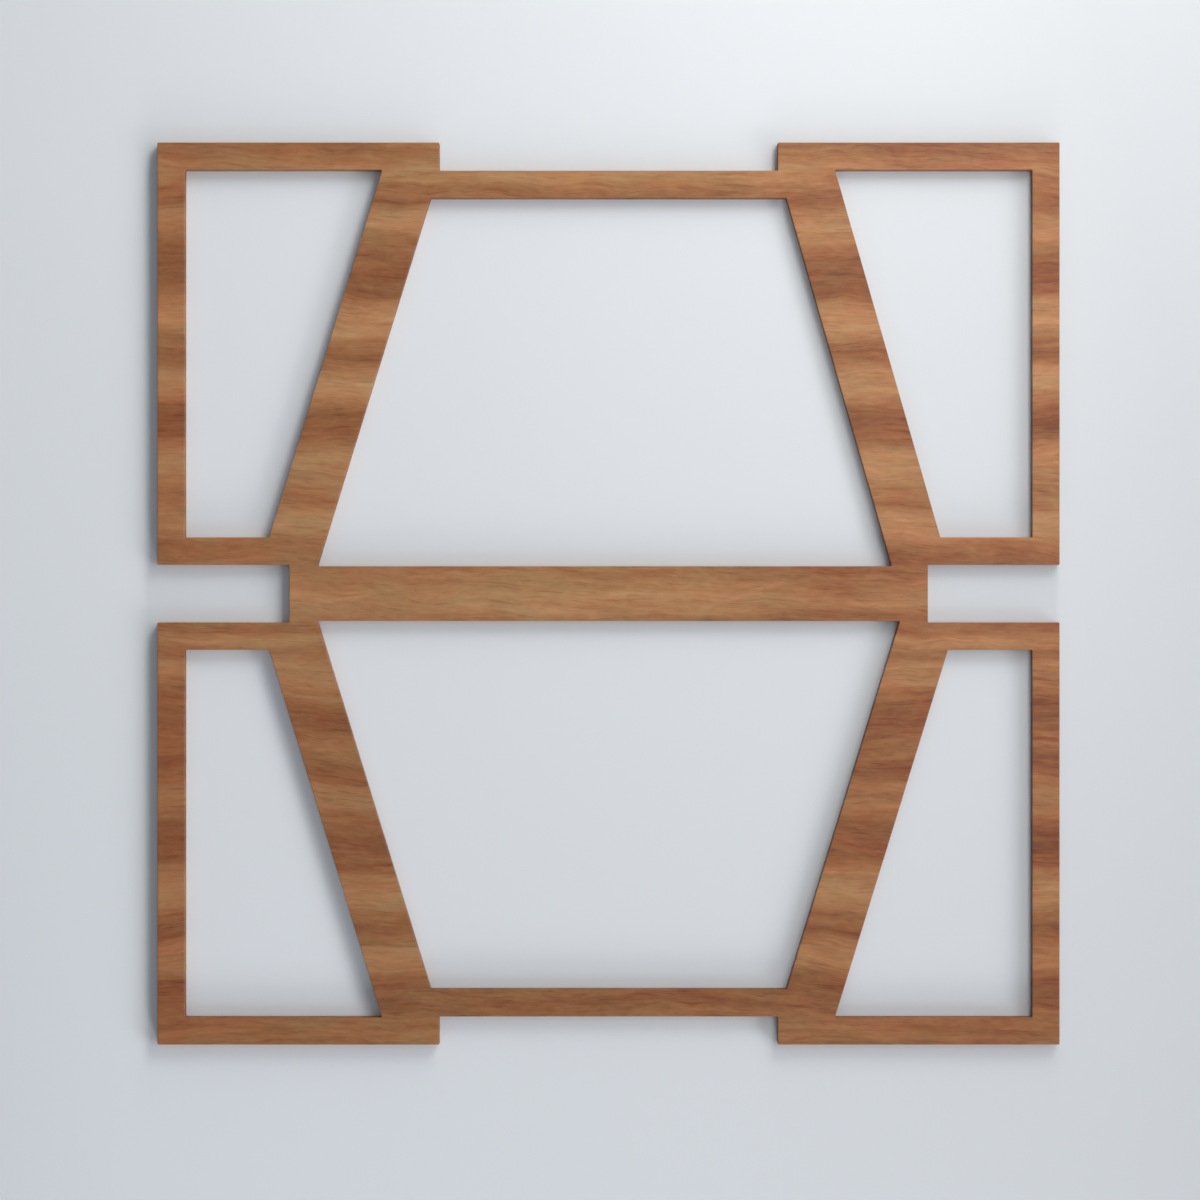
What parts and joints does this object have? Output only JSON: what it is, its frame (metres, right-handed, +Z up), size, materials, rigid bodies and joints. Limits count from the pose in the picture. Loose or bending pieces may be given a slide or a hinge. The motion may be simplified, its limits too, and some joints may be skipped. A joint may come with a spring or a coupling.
{
  "type": "fretwork wall panel",
  "caption": "Square openwork wall panel of flat hardwood bars: corner frames, leaning diagonals and a centre rail, cut in one piece, with a notch in each edge.",
  "frame": {"origin": "middle of the panel's back face, which lies flat on the wall", "axes": "+Z up the wall, +X to the right seen from the front, +Y out of the back face into the wall; the front faces -Y"},
  "size_m": [0.5936, 0.0063, 0.5936],
  "materials": {
    "hardwood": "satin clear coat over reddish brown, horizontally grained hardwood"
  },
  "bodies": {
    "root": {"fretwork_panel": "hardwood"}
  },
  "joints": []
}
